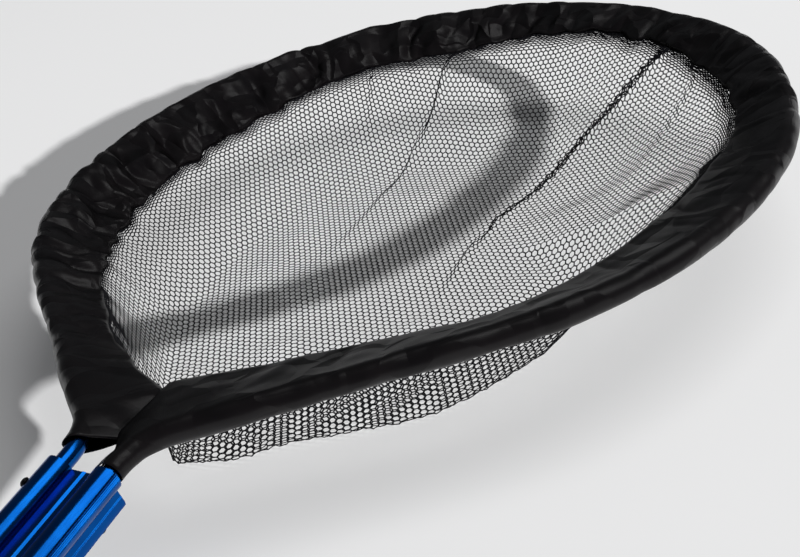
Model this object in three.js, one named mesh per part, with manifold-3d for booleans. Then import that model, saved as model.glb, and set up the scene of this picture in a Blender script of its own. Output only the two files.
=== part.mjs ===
// Koi pan net: a wide, shallow net pan sewn to a round hoop of blue anodised tube. The hoop's two legs
// are screwed into an extruded yoke, and the yoke carries a telescopic handle with a twist lock.
// Millimetres, +Z up. The origin is on the ground under the hoop's centre, with the hoop level above it.
// +Y points to the hoop's far end, and the handle slopes down along -Y until its grip meets the ground.
import * as THREE from 'three';
import { mergeGeometries, mergeVertices } from 'three/addons/utils/BufferGeometryUtils.js';
import Module from 'manifold-3d';

const wasm = await Module();
wasm.setup();

// Hoop
const CLEAR = 0.35;
const TUBE_R = 6;
const TUBE_WALL = 1.2;
const HOOP_R = 308;
const NECK_LENGTH = 70;
const LEG_SPACING = 38.4;
const LEG_BEND = 22;
const LEG_IN_YOKE = 146;
const YOKE_TO_NECK = 28.5;
const HOOP_HEIGHT = 96;

// Hem and net
const HEM_R = 8;
const HEM_BAND = 50;
const HEM_THICKNESS = 1.6;
const HEM_SLOPE = THREE.MathUtils.degToRad(20);
const BARE_LEG_LEFT = 14;
const BARE_LEG_RIGHT = 3;
const CROTCH_TO_YOKE = 25;
const NET_THICKNESS = 2;
const STRAND = 3;
const SEAM_OVERLAP = 4;
const WALL_CURVE = 1.5;
const WALL_COLUMNS = 36;
const WALL_ROWS = 4;
const WALL_ZIGZAG = 0.04;
const FLOOR_R = 183;
const FLOOR_TO_NECK = 68;
const FLOOR_TO_RIGHT = 12;
const FLOOR_RIM = 8;
const FLOOR_PITCH = 27;

// Yoke
const YOKE_LENGTH = 150;
const BARREL_R = 9.2;
const VALLEY_Z = -0.6;
const RIDGE_HEIGHT = 0.7;
const RIDGE_WIDTH = 1.4;
const RIB_COUNT = 6;
const RIB_HEIGHT = 0.5;
const RIBS_FROM = THREE.MathUtils.degToRad(34);
const RIBS_TO = THREE.MathUtils.degToRad(-6);
const NOTCH_ANGLE = THREE.MathUtils.degToRad(-85);
const SKIRT_HALF_WIDTH = 21;
const SKIRT_FOOT_Z = -21;
const SKIRT_EDGE = 2.5;
const SKIRT_UNDERCUT = 0.6;
const SKIRT_RIDGE_FROM = 0.55;
const SKIRT_RIDGE_TO = 0.7;
const POLE_DROP = 17;
const SOCKET_WALL = 2.8;

// Screws
const SCREW_R = 2;
const SCREW_HEAD_R = 3.2;
const SCREW_HEAD_TOP_R = 2.2;
const SCREW_SOCKET_R = 1.6;
const SCREW_SIDES = 12;
const SCREW_HEAD_HEIGHT = 2;
const LEG_SCREW_BACK = 20;
const LEG_SCREW_ANGLE = THREE.MathUtils.degToRad(145);
const POLE_SCREW_BACK = 86;
const POLE_SCREW_X = 7.5;

// Handle
const POLE_R = 12.5;
const POLE_WALL = 1.3;
const POLE_INSET = 12;
const POLE_SHOWN = 40;
const POLE_TO_CAP = 8;
const BUSH_LENGTH = 24;
const HANDLE_WALL = 1.2;
const HANDLE_LENGTH = 389;
const COLLET_LENGTH = 9;
const FERRULE_LENGTH = 36;
const FERRULE_WALL = 1.8;
const COLLAR_R = 18;
const COLLAR_LIP = 4;
const COLLAR_FLUTES = 20;
const FLUTE_DEPTH = 1;
const FLUTE_LAND = 0.56;
const FLUTE_FLOOR = 0.16;
const GRIP_R = 18.5;
const GRIP_LENGTH = 190;
const GRIP_END_R = 16.4;
const GRIP_EASE = 8;
const CAP_LENGTH = 16;
const CAP_ROUND = 8;
const CAP_SPIGOT = 22;
const ROUND_SIDES = 24;

// Places that follow from the sizes. The handle's are in its own frame, which starts in the middle of the
// neck, with Y along the handle and Z square to it through the legs.
const LEG_X = LEG_SPACING / 2;
const NECK_TO_CENTRE = NECK_LENGTH + HOOP_R;
const cornerReach = Math.hypot(LEG_X, NECK_TO_CENTRE);
const FLARE_ANGLE = Math.asin(HOOP_R / cornerReach) - Math.atan2(LEG_X, NECK_TO_CENTRE);
const FLARE_LENGTH = Math.sqrt(cornerReach ** 2 - HOOP_R ** 2);
const YOKE_FRONT_Y = -YOKE_TO_NECK;
const YOKE_REAR_Y = YOKE_FRONT_Y - YOKE_LENGTH;
const HANDLE_BORE_R = POLE_R + 2 * CLEAR;
const HANDLE_R = HANDLE_BORE_R + HANDLE_WALL;
const COLLAR_FRONT_Y = YOKE_REAR_Y - POLE_SHOWN;
const COLLET_FRONT_Y = COLLAR_FRONT_Y - COLLAR_LIP - CLEAR;
const HANDLE_FRONT_Y = COLLET_FRONT_Y - COLLET_LENGTH - CLEAR;
const HANDLE_REAR_Y = HANDLE_FRONT_Y - HANDLE_LENGTH;

// Slope of the handle at which the grip's rear end meets the ground.
const gripBack = -HANDLE_REAR_Y - GRIP_EASE;
const gripBelow = POLE_DROP + GRIP_R;
const gripReach = Math.hypot(gripBack, gripBelow);
const HANDLE_SLOPE = Math.asin(HOOP_HEIGHT / gripReach) - Math.atan2(gripBelow, gripBack);

const blue = new THREE.MeshStandardMaterial({ color: 0x0a4fc4, roughness: 0.25, metalness: 0.9 });
const nylon = new THREE.MeshStandardMaterial({ color: 0x0b0b10, roughness: 0.45, metalness: 0 });
const netting = new THREE.MeshStandardMaterial({ color: 0x101014, roughness: 0.7, metalness: 0 });
const blackSteel = new THREE.MeshStandardMaterial({ color: 0x141416, roughness: 0.4, metalness: 0.8 });
const plastic = new THREE.MeshStandardMaterial({ color: 0x17171a, roughness: 0.5, metalness: 0 });
const foam = new THREE.MeshStandardMaterial({ color: 0x1c1c1f, roughness: 0.9, metalness: 0 });

const net = new THREE.Group();
const handle = new THREE.Group();
handle.position.set(0, -NECK_TO_CENTRE, HOOP_HEIGHT);
handle.rotation.x = HANDLE_SLOPE;
net.add(handle);

function addPart(group, name, geometry, material) {
  const mesh = new THREE.Mesh(geometry, material);
  mesh.name = name;
  group.add(mesh);
}

// Turns a closed mesh right side out by the sign of its volume.
function facingOut(geometry) {
  const whole = geometry.index ? geometry.toNonIndexed() : geometry;
  const p = whole.attributes.position;
  const [a, b, c] = [new THREE.Vector3(), new THREE.Vector3(), new THREE.Vector3()];
  let volume = 0;
  for (let i = 0; i < p.count; i += 3) {
    a.fromBufferAttribute(p, i);
    b.fromBufferAttribute(p, i + 1);
    c.fromBufferAttribute(p, i + 2);
    volume += a.dot(b.cross(c));
  }
  if (volume > 0) return whole;
  const flipped = new Float32Array(p.count * 3);
  for (let i = 0; i < p.count; i += 1) {
    const from = i - (i % 3) + (2 - (i % 3));
    flipped.set([p.getX(from), p.getY(from), p.getZ(from)], 3 * i);
  }
  return new THREE.BufferGeometry().setAttribute('position', new THREE.BufferAttribute(flipped, 3));
}

function fromTriangles(points) {
  const geometry = new THREE.BufferGeometry().setFromPoints(points);
  return facingOut(geometry);
}

function toSolid(geometry) {
  const bare = facingOut(geometry).clone();
  bare.deleteAttribute('normal');
  bare.deleteAttribute('uv');
  const merged = mergeVertices(bare, 1e-4);
  const vertProperties = new Float32Array(merged.attributes.position.array);
  const triVerts = new Uint32Array(merged.index.array);
  return new wasm.Manifold(new wasm.Mesh({ numProp: 3, vertProperties, triVerts }));
}

function toGeometry(solid) {
  const mesh = solid.getMesh();
  const geometry = new THREE.BufferGeometry();
  geometry.setAttribute('position', new THREE.BufferAttribute(new Float32Array(mesh.vertProperties), 3));
  geometry.setIndex(new THREE.BufferAttribute(new Uint32Array(mesh.triVerts), 1));
  return geometry;
}

function cut(geometry, ...tools) {
  let solid = toSolid(geometry);
  for (const tool of tools) solid = solid.subtract(toSolid(tool));
  return toGeometry(solid);
}

function arcPoints(x, y, radius, from, to, steps) {
  const points = [];
  for (let i = 0; i <= steps; i += 1) {
    const angle = from + ((to - from) * i) / steps;
    points.push(new THREE.Vector2(x + radius * Math.cos(angle), y + radius * Math.sin(angle)));
  }
  return points;
}

// A piece turned about the handle's axis. The profile is a list of [radius, y] pairs; one that doesn't
// touch the axis closes on itself.
function turned(profile) {
  const points = profile.map(([radius, y]) => new THREE.Vector2(radius, y));
  if (points[0].x > 0) points.push(points[0].clone());
  return facingOut(new THREE.LatheGeometry(points, ROUND_SIDES).translate(0, 0, -POLE_DROP));
}

function tubeProfile(outer, inner, front, rear) {
  return [[inner, front], [outer, front], [outer, rear], [inner, rear]];
}

// Centre line of the hoop tube, from the left leg's end round to the right leg's end.
function hoopLine() {
  const bendSteps = 5;
  const flareSteps = 2;
  const arcSteps = 44;
  const corner = new THREE.Vector3(LEG_X, -NECK_TO_CENTRE, HOOP_HEIGHT);
  const legBack = new THREE.Vector3(0, -Math.cos(HANDLE_SLOPE), -Math.sin(HANDLE_SLOPE));
  const flare = new THREE.Vector3(Math.sin(FLARE_ANGLE), Math.cos(FLARE_ANGLE), 0);
  const legEnd = corner.clone().addScaledVector(legBack, YOKE_TO_NECK + LEG_IN_YOKE);
  const bendStart = corner.clone().addScaledVector(legBack, LEG_BEND);
  const bendEnd = corner.clone().addScaledVector(flare, LEG_BEND);
  const bend = new THREE.QuadraticBezierCurve3(bendStart, corner, bendEnd);
  const half = [legEnd, ...bend.getPoints(bendSteps)];
  for (let i = 1; i < flareSteps; i += 1) {
    const along = LEG_BEND + ((FLARE_LENGTH - LEG_BEND) * i) / flareSteps;
    half.push(corner.clone().addScaledVector(flare, along));
  }
  const round = arcPoints(0, 0, HOOP_R, Math.PI + FLARE_ANGLE, -FLARE_ANGLE, arcSteps)
    .map((p) => new THREE.Vector3(p.x, p.y, HOOP_HEIGHT));
  const left = half.map((p) => new THREE.Vector3(-p.x, p.y, p.z));
  return [...left, ...round, ...half.reverse()];
}

// Stretch of a line of points between two lengths along it, with its own ends.
function stretch(line, from, to) {
  const points = [];
  let run = 0;
  for (let i = 0; i + 1 < line.length; i += 1) {
    const step = line[i].distanceTo(line[i + 1]);
    const at = (length) => line[i].clone().lerp(line[i + 1], (length - run) / step);
    if (from >= run && from < run + step) points.push(at(from));
    if (run + step > from + 1 && run + step < to - 1) points.push(line[i + 1]);
    if (to > run && to <= run + step) points.push(at(to));
    run += step;
  }
  return points;
}

function lineLength(line) {
  return line.slice(1).reduce((sum, p, i) => sum + p.distanceTo(line[i]), 0);
}

// Frame at each point of a line round the hoop: inward across the line, and up square to it.
function framesAlong(points) {
  const hoopUp = new THREE.Vector3(0, 0, 1);
  return points.map((point, i) => {
    const next = points[Math.min(i + 1, points.length - 1)];
    const last = points[Math.max(i - 1, 0)];
    const ahead = next.clone().sub(point).normalize();
    const behind = point.clone().sub(last).normalize();
    const tangent = ahead.add(behind).normalize();
    const inward = tangent.clone().cross(hoopUp).normalize();
    const up = inward.clone().cross(tangent);
    return { point, inward, up };
  });
}

// Solid swept along frames. sectionAt gives the outer loop and the bore loop at a frame, as pairs of
// inward and up distances with the same counts at every frame.
function swept(frames, sectionAt) {
  const placed = (frame, p) => frame.point.clone()
    .addScaledVector(frame.inward, p.x)
    .addScaledVector(frame.up, p.y);
  const rings = frames.map((frame) => sectionAt(frame).map((loop) => loop.map((p) => placed(frame, p))));
  const triangles = [];
  for (let i = 0; i + 1 < rings.length; i += 1) {
    rings[i].forEach((loop, k) => {
      const next = rings[i + 1][k];
      loop.forEach((_, j) => {
        const m = (j + 1) % loop.length;
        const quad = [loop[j], loop[m], next[m], loop[j], next[m], next[j]];
        triangles.push(...(k === 0 ? quad : quad.reverse()));
      });
    });
  }
  for (const end of [0, frames.length - 1]) {
    const [outer, bore] = sectionAt(frames[end]);
    const corners = [...rings[end][0], ...rings[end][1]];
    const wound = THREE.ShapeUtils.triangulateShape(outer, [bore]);
    for (const face of wound) {
      const three = face.map((index) => corners[index]);
      triangles.push(...(end === 0 ? three.reverse() : three));
    }
  }
  return fromTriangles(triangles);
}

const line = hoopLine();
const lineTotal = lineLength(line);

function hoopFrame() {
  const sides = 10;
  const outer = arcPoints(0, 0, TUBE_R, 0, 2 * Math.PI, sides).slice(0, sides);
  const bore = arcPoints(0, 0, TUBE_R - TUBE_WALL, 0, 2 * Math.PI, sides).slice(0, sides);
  return swept(framesAlong(line), () => [outer, bore]);
}

// Nylon hem: a sleeve sewn round the tube, with its two layers running inward as a flat band. In the
// neck the bands of both sides meet at the middle, where they are seamed, and the legs' ends stay bare.
function hemSleeve() {
  const sides = 10;
  const start = LEG_IN_YOKE + BARE_LEG_LEFT;
  const end = lineTotal - LEG_IN_YOKE - BARE_LEG_RIGHT;
  const frames = framesAlong(stretch(line, start, end));
  const halfSeam = CLEAR / 2;
  const spread = Math.asin(HEM_THICKNESS / 2 / HEM_R);
  const round = arcPoints(0, 0, HEM_R, spread, 2 * Math.PI - spread, sides);
  const bore = arcPoints(0, 0, TUBE_R + 1.5 * CLEAR, 0, 2 * Math.PI, sides).slice(0, sides);
  const flat = new THREE.Vector2();
  return swept(frames, ({ point, inward }) => {
    const joined = point.y > CROTCH_TO_YOKE - YOKE_TO_NECK - NECK_TO_CENTRE;
    const toMiddle = (Math.abs(point.x) - halfSeam) / (Math.abs(inward.x) * Math.cos(HEM_SLOPE));
    const flatBand = point.y < 0 ? Math.min(HEM_BAND, toMiddle) : HEM_BAND;
    const band = joined ? flatBand : HEM_R + CLEAR;
    const lower = new THREE.Vector2(band, -HEM_THICKNESS / 2);
    const upper = new THREE.Vector2(band, HEM_THICKNESS / 2);
    const outer = [...round, lower, upper].map((p) => p.clone().rotateAround(flat, -HEM_SLOPE));
    return [outer, bore];
  });
}

// Half width of the pan's outline, a circle drawn out to a point at the neck, at an angle from the
// centre. Inset from the hoop, it stays parallel to it.
function outlineRadius(angle, inset) {
  const fromNeck = Math.abs(Math.atan2(Math.cos(angle), -Math.sin(angle)));
  const pointed = Math.max(0, Math.PI / 2 - FLARE_ANGLE - fromNeck);
  return (HOOP_R - inset) / Math.cos(pointed);
}

const WALL_TOP_INSET = HEM_BAND * Math.cos(HEM_SLOPE) - SEAM_OVERLAP;
const HEM_BELOW = Math.tan(HEM_SLOPE) * (WALL_TOP_INSET + NET_THICKNESS / 2)
  + HEM_THICKNESS / 2 / Math.cos(HEM_SLOPE);
const WALL_TOP_Z = HOOP_HEIGHT - HEM_BELOW - CLEAR - NET_THICKNESS / 2;
const WALL_FOOT_Z = 1.5 * NET_THICKNESS + CLEAR;

// Point of the net floor's outline, drawn in by an inset. The floor lies nearer to the neck than the
// hoop's middle, and a little to the right.
function floorPoint(angle, inset) {
  const radius = outlineRadius(angle, HOOP_R - FLOOR_R + inset);
  const x = FLOOR_TO_RIGHT + radius * Math.cos(angle);
  const y = radius * Math.sin(angle) - FLOOR_TO_NECK;
  return new THREE.Vector2(x, y);
}

// Middle of the bag's wall at an angle, from 0 under the hem to 1 on the floor. The wall sags, so that
// it leaves the floor flat and gets steeper towards the hem.
function wallMiddle(angle, down) {
  const radius = outlineRadius(angle, WALL_TOP_INSET);
  const top = new THREE.Vector2(radius * Math.cos(angle), radius * Math.sin(angle));
  const place = top.lerp(floorPoint(angle, FLOOR_RIM / 2), down);
  const rise = Math.max(0, 1 - down) ** WALL_CURVE;
  return new THREE.Vector3(place.x, place.y, THREE.MathUtils.lerp(WALL_FOOT_Z, WALL_TOP_Z, rise));
}

// Point on the outer (1) or inner (-1) face of the wall.
function wallPoint(angle, down, outward) {
  const step = 1e-3;
  const along = wallMiddle(angle + step, down).sub(wallMiddle(angle - step, down));
  const below = wallMiddle(angle, down + step).sub(wallMiddle(angle, down - step));
  const square = below.cross(along).normalize();
  return wallMiddle(angle, down).addScaledVector(square, (outward * NET_THICKNESS) / 2);
}

// Net wall as a honeycomb of strands round the pan, with straight edges at the hem and at the floor.
function netWall() {
  const open = 1 - (STRAND * WALL_COLUMNS) / (2 * Math.PI * (HOOP_R - WALL_TOP_INSET));
  const knot = (row, k) => {
    const edge = row === 0 || row === WALL_ROWS;
    const shift = (k + row) % 2 === 0 ? WALL_ZIGZAG : -WALL_ZIGZAG;
    return [(Math.PI * k) / WALL_COLUMNS - Math.PI / 2, row / WALL_ROWS + (edge ? 0 : shift)];
  };
  const triangles = [];
  const quad = (a, b, c, d) => triangles.push(a, b, c, a, c, d);
  for (let row = 0; row < WALL_ROWS; row += 1) {
    for (let column = 0; column < WALL_COLUMNS; column += 1) {
      const k = 2 * column + (row % 2);
      const ring = [
        knot(row, k), knot(row, k + 1), knot(row, k + 2),
        knot(row + 1, k + 2), knot(row + 1, k + 1), knot(row + 1, k),
      ];
      const middle = [0, 1].map((axis) => ring.reduce((sum, p) => sum + p[axis], 0) / ring.length);
      const gap = ring.map((p) => p.map((value, axis) => middle[axis] + (value - middle[axis]) * open));
      ring.forEach((p, i) => {
        const n = (i + 1) % ring.length;
        const corners = [p, ring[n], gap[n], gap[i]];
        const [a, b, c, d] = corners.map((at) => wallPoint(...at, 1));
        const [e, f, g, h] = corners.map((at) => wallPoint(...at, -1));
        quad(a, b, c, d);
        quad(h, g, f, e);
        quad(d, c, g, h);
        const atTop = row === 0 && i < 2;
        const atFoot = row === WALL_ROWS - 1 && (i === 3 || i === 4);
        if (atTop || atFoot) quad(b, a, e, f);
      });
    }
  }
  return fromTriangles(triangles);
}

function extruded(points, depth) {
  return new THREE.ExtrudeGeometry(new THREE.Shape(points), { depth, bevelEnabled: false });
}

// A cut through the net floor and past both its faces.
function throughNet(points) {
  return extruded(points, 3 * NET_THICKNESS).translate(0, 0, -NET_THICKNESS);
}

// Outline of the net floor, drawn in by an inset.
function floorOutline(inset) {
  const steps = 72;
  return Array.from({ length: steps }, (_, i) => floorPoint((2 * Math.PI * i) / steps - Math.PI / 2, inset));
}

// Net floor: a flat panel of honeycomb netting with a sewn rim. A knot of the netting is at the origin.
function netFloor() {
  const corner = FLOOR_PITCH / Math.sqrt(3);
  const gapCorner = (FLOOR_PITCH - STRAND) / Math.sqrt(3);
  const rows = Math.ceil(HOOP_R / (1.5 * corner));
  const gaps = [];
  for (let row = -rows; row <= rows; row += 1) {
    for (let column = -rows; column <= rows; column += 1) {
      const x = FLOOR_PITCH * (column + (Math.abs(row) % 2) / 2);
      const y = corner * (1 + 1.5 * row);
      const fromMiddle = new THREE.Vector2(x - FLOOR_TO_RIGHT, y + FLOOR_TO_NECK);
      const rim = outlineRadius(fromMiddle.angle(), HOOP_R - FLOOR_R + FLOOR_RIM);
      if (fromMiddle.length() > rim - STRAND) continue;
      const gap = arcPoints(x, y, gapCorner, Math.PI / 6, Math.PI / 6 + 2 * Math.PI, 6).slice(0, 6);
      gaps.push(throughNet(gap));
    }
  }
  const inside = throughNet(floorOutline(FLOOR_RIM));
  const mesh = toSolid(mergeGeometries(gaps)).intersect(toSolid(inside));
  return toGeometry(toSolid(extruded(floorOutline(0), NET_THICKNESS)).subtract(mesh));
}

// A small row of ridges along a straight or round stretch of the yoke's outline.
function ridges(at, count, height) {
  const points = [];
  for (let i = 0; i < count; i += 1) {
    points.push(at(i / count, 0), at((i + 0.5) / count, height));
  }
  points.push(at(1, 0));
  return points;
}

// Yoke: a square-cut length of extruded aluminium. Two barrels take the hoop's legs, a valley with a fine
// double ridge lies between them, ribs run down their outer sides, a steep skirt stands below them, and a
// round socket under it takes the pole.
function yokeOutline() {
  const valleyAngle = Math.PI - Math.asin(VALLEY_Z / BARREL_R);
  const barrelSteps = 10;
  const underSteps = 5;
  const socketSteps = 8;
  const socketR = POLE_R + CLEAR + SOCKET_WALL;
  const baseZ = SKIRT_FOOT_Z - SKIRT_EDGE;
  const onBarrel = (angle, height) => {
    const radius = BARREL_R + height;
    return new THREE.Vector2(LEG_X + radius * Math.cos(angle), radius * Math.sin(angle));
  };
  const onRibs = (part, height) => onBarrel(THREE.MathUtils.lerp(RIBS_FROM, RIBS_TO, part), height);
  const onValley = (part, height) => new THREE.Vector2(RIDGE_WIDTH * part, VALLEY_Z + height);
  const notch = onBarrel(NOTCH_ANGLE, 0);
  const skirtCorner = new THREE.Vector2(SKIRT_HALF_WIDTH, SKIRT_FOOT_Z);
  const skirtOut = new THREE.Vector2(notch.y - skirtCorner.y, skirtCorner.x - notch.x).normalize();
  const onSkirt = (part, height) => notch.clone()
    .lerp(skirtCorner, THREE.MathUtils.lerp(SKIRT_RIDGE_FROM, SKIRT_RIDGE_TO, part))
    .addScaledVector(skirtOut, height);
  const socketAngle = Math.asin((baseZ + POLE_DROP) / socketR);
  const right = [
    ...ridges(onValley, 1, RIDGE_HEIGHT),
    ...arcPoints(LEG_X, 0, BARREL_R, valleyAngle, RIBS_FROM, barrelSteps).slice(0, -1),
    ...ridges(onRibs, RIB_COUNT, RIB_HEIGHT),
    ...arcPoints(LEG_X, 0, BARREL_R, RIBS_TO, NOTCH_ANGLE, underSteps).slice(1),
    ...ridges(onSkirt, 2, RIDGE_HEIGHT / 2),
    skirtCorner,
    new THREE.Vector2(SKIRT_HALF_WIDTH - SKIRT_UNDERCUT, baseZ),
    ...arcPoints(0, -POLE_DROP, socketR, socketAngle, -Math.PI / 2, socketSteps),
  ];
  const left = right.slice(0, -1).reverse().map((p) => new THREE.Vector2(-p.x, p.y)).slice(0, -1);
  return [...right, ...left];
}

// Lays a round piece made along Y onto a screw's axis in the yoke.
function onScrewAxis(geometry, { x, back, angle }) {
  geometry.rotateX(Math.PI / 2).rotateY(Math.PI / 2 - angle);
  return geometry.translate(x, YOKE_FRONT_Y - back, 0);
}

function drill(screw, from, to, radius) {
  const length = to - from;
  const pin = new THREE.CylinderGeometry(radius, radius, length, SCREW_SIDES);
  return onScrewAxis(pin.translate(0, from + length / 2, 0), screw);
}

// Each screw: where its axis crosses the yoke's section level with the legs, its angle there, how far back
// it is, and the distances along the axis of its tip and of the face its head is seated on.
// The right leg's screw comes up from below, midway between the pole's bore and the yoke's side.
const legTip = TUBE_R + CLEAR;
const rightScrewX = (LEG_X + BARREL_R * Math.cos(NOTCH_ANGLE) + POLE_R + CLEAR) / 2;
const skirtBase = -SKIRT_FOOT_Z + SKIRT_EDGE;
const poleScrewTip = -POLE_DROP + Math.sqrt((POLE_R + CLEAR) ** 2 - (POLE_SCREW_X - SCREW_R) ** 2);
const screws = {
  leg_screw_left: {
    x: -LEG_X, angle: LEG_SCREW_ANGLE, back: LEG_SCREW_BACK, tip: legTip, seat: BARREL_R,
  },
  leg_screw_right: {
    x: rightScrewX, angle: -Math.PI / 2, back: LEG_SCREW_BACK, tip: legTip, seat: skirtBase,
  },
  pole_screw: {
    x: POLE_SCREW_X, angle: Math.PI / 2, back: POLE_SCREW_BACK, tip: poleScrewTip, seat: VALLEY_Z,
  },
};

function screwBody({ tip, seat }) {
  const under = seat + CLEAR;
  const middle = under + SCREW_HEAD_HEIGHT / 2;
  const top = under + SCREW_HEAD_HEIGHT;
  const profile = [
    [0, tip], [SCREW_R, tip], [SCREW_R, under], [SCREW_HEAD_R, under], [SCREW_HEAD_R, middle],
    [SCREW_HEAD_TOP_R, top], [SCREW_SOCKET_R, top], [SCREW_SOCKET_R, middle], [0, middle],
  ];
  return new THREE.LatheGeometry(profile.map(([r, y]) => new THREE.Vector2(r, y)), SCREW_SIDES);
}

function yoke() {
  const shape = new THREE.Shape(yokeOutline());
  const bores = [[-LEG_X, 0, TUBE_R], [LEG_X, 0, TUBE_R], [0, -POLE_DROP, POLE_R]];
  for (const [x, z, radius] of bores) {
    const circle = arcPoints(x, z, radius + CLEAR, 0, 2 * Math.PI, ROUND_SIDES).slice(0, ROUND_SIDES);
    shape.holes.push(new THREE.Path(circle));
  }
  const bar = new THREE.ExtrudeGeometry(shape, { depth: YOKE_LENGTH, bevelEnabled: false });
  bar.rotateX(Math.PI / 2).translate(0, YOKE_FRONT_Y, 0);
  const tools = [];
  for (const screw of Object.values(screws)) {
    tools.push(drill(screw, screw.tip - SCREW_R, screw.seat + CLEAR, SCREW_R + CLEAR));
    tools.push(drill(screw, screw.seat, screw.seat + 4 * SCREW_HEAD_HEIGHT, SCREW_HEAD_R + CLEAR));
  }
  return cut(bar, ...tools);
}

addPart(net, 'hoop_frame', hoopFrame(), blue);
addPart(net, 'hem_sleeve', hemSleeve(), nylon);
addPart(net, 'net_wall', netWall(), netting);
addPart(net, 'net_floor', netFloor(), netting);
addPart(handle, 'yoke', yoke(), blue);
for (const [name, screw] of Object.entries(screws)) {
  addPart(handle, name, facingOut(onScrewAxis(screwBody(screw), screw)), blackSteel);
}

// Inner pole, fixed in the yoke, and the plastic bush on its hidden end that runs in the outer pole.
const poleFrontY = YOKE_FRONT_Y - POLE_INSET;
const poleRearY = HANDLE_REAR_Y + CAP_SPIGOT + POLE_TO_CAP + BUSH_LENGTH;
const bushR = POLE_R + CLEAR;
const bushSpigotR = POLE_R - POLE_WALL - CLEAR;
const innerPole = tubeProfile(POLE_R, POLE_R - POLE_WALL, poleFrontY, poleRearY);
addPart(handle, 'inner_pole', turned(innerPole), blue);
addPart(handle, 'inner_pole_bush', turned([
  [0, poleRearY + BUSH_LENGTH], [bushSpigotR, poleRearY + BUSH_LENGTH], [bushSpigotR, poleRearY - CLEAR],
  [bushR, poleRearY - CLEAR], [bushR, poleRearY - BUSH_LENGTH], [0, poleRearY - BUSH_LENGTH],
]), plastic);

// Outer pole with the twist lock at its front end: a threaded ferrule on the pole, a tapered collet round
// the inner pole, and the fluted collar that draws the collet into the ferrule.
const outerPole = tubeProfile(HANDLE_R, HANDLE_BORE_R, HANDLE_FRONT_Y, HANDLE_REAR_Y);
addPart(handle, 'outer_pole', turned(outerPole), blue);
const ferruleR = HANDLE_R + CLEAR + FERRULE_WALL;
const ferruleRearY = HANDLE_FRONT_Y - FERRULE_LENGTH;
const ferrule = tubeProfile(ferruleR, HANDLE_R + CLEAR, HANDLE_FRONT_Y, ferruleRearY);
addPart(handle, 'lock_ferrule', turned(ferrule), plastic);
const colletRearY = COLLET_FRONT_Y - COLLET_LENGTH;
addPart(handle, 'lock_collet', turned([
  [POLE_R + CLEAR, COLLET_FRONT_Y], [HANDLE_R, COLLET_FRONT_Y],
  [ferruleR, COLLET_FRONT_Y - COLLET_LENGTH / 3], [ferruleR, colletRearY], [POLE_R + CLEAR, colletRearY],
]), plastic);

function lockCollar() {
  const rearY = ferruleRearY - CLEAR;
  const pitch = (2 * Math.PI) / COLLAR_FLUTES;
  const halfLand = (pitch * FLUTE_LAND) / 2;
  const halfFloor = (pitch * FLUTE_FLOOR) / 2;
  const outline = [];
  for (let i = 0; i < COLLAR_FLUTES; i += 1) {
    const land = i * pitch;
    const flute = land + pitch / 2;
    outline.push(...arcPoints(0, 0, COLLAR_R, land - halfLand, land + halfLand, 2));
    outline.push(...arcPoints(0, 0, COLLAR_R - FLUTE_DEPTH, flute - halfFloor, flute + halfFloor, 1));
  }
  const blank = extruded(outline, COLLAR_FRONT_Y - rearY);
  blank.rotateX(Math.PI / 2).translate(0, COLLAR_FRONT_Y, -POLE_DROP);
  const boreR = POLE_R + CLEAR;
  const cavityR = ferruleR + CLEAR;
  const past = 5;
  const cavity = turned([
    [0, COLLAR_FRONT_Y + past], [boreR, COLLAR_FRONT_Y + past], [boreR, COLLAR_FRONT_Y - COLLAR_LIP],
    [cavityR, COLLAR_FRONT_Y - COLLAR_LIP], [cavityR, rearY - past], [0, rearY - past],
  ]);
  return cut(blank, cavity);
}
addPart(handle, 'lock_collar', lockCollar(), plastic);

// Foam grip pushed over the outer pole's rear end, and the cap plugged into that end.
const gripR = HANDLE_R + CLEAR;
const gripFrontY = HANDLE_REAR_Y + GRIP_LENGTH;
const gripTaper = GRIP_R - GRIP_END_R;
addPart(handle, 'grip', turned([
  [gripR, gripFrontY], [GRIP_END_R, gripFrontY], [GRIP_R - gripTaper / 3, gripFrontY - GRIP_EASE / 3],
  [GRIP_R, gripFrontY - GRIP_EASE], [GRIP_R, HANDLE_REAR_Y + GRIP_EASE],
  [GRIP_R - gripTaper / 3, HANDLE_REAR_Y + GRIP_EASE / 3], [GRIP_END_R, HANDLE_REAR_Y],
  [gripR, HANDLE_REAR_Y],
]), foam);
const capFrontY = HANDLE_REAR_Y - CLEAR;
const capRearY = capFrontY - CAP_LENGTH;
const capSpigotR = HANDLE_BORE_R - CLEAR;
const capRound = arcPoints(GRIP_END_R - CAP_ROUND, capRearY + CAP_ROUND, CAP_ROUND, 0, -Math.PI / 2, 3);
addPart(handle, 'end_cap', turned([
  [0, capFrontY + CAP_SPIGOT], [capSpigotR, capFrontY + CAP_SPIGOT], [capSpigotR, capFrontY],
  [GRIP_END_R, capFrontY], ...capRound.map((p) => [p.x, p.y]), [0, capRearY],
]), plastic);

export default net;
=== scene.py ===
# Koi pan net: a level hoop of blue anodised tube with a gathered nylon hem and a shallow bag of black
# netting, on an extruded yoke and a telescopic handle. Metres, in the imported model's frame.
import math

import bmesh
import bpy
import numpy as np
from mathutils import Matrix, Vector, noise
from mathutils.bvhtree import BVHTree
from mathutils.geometry import barycentric_transform


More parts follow.
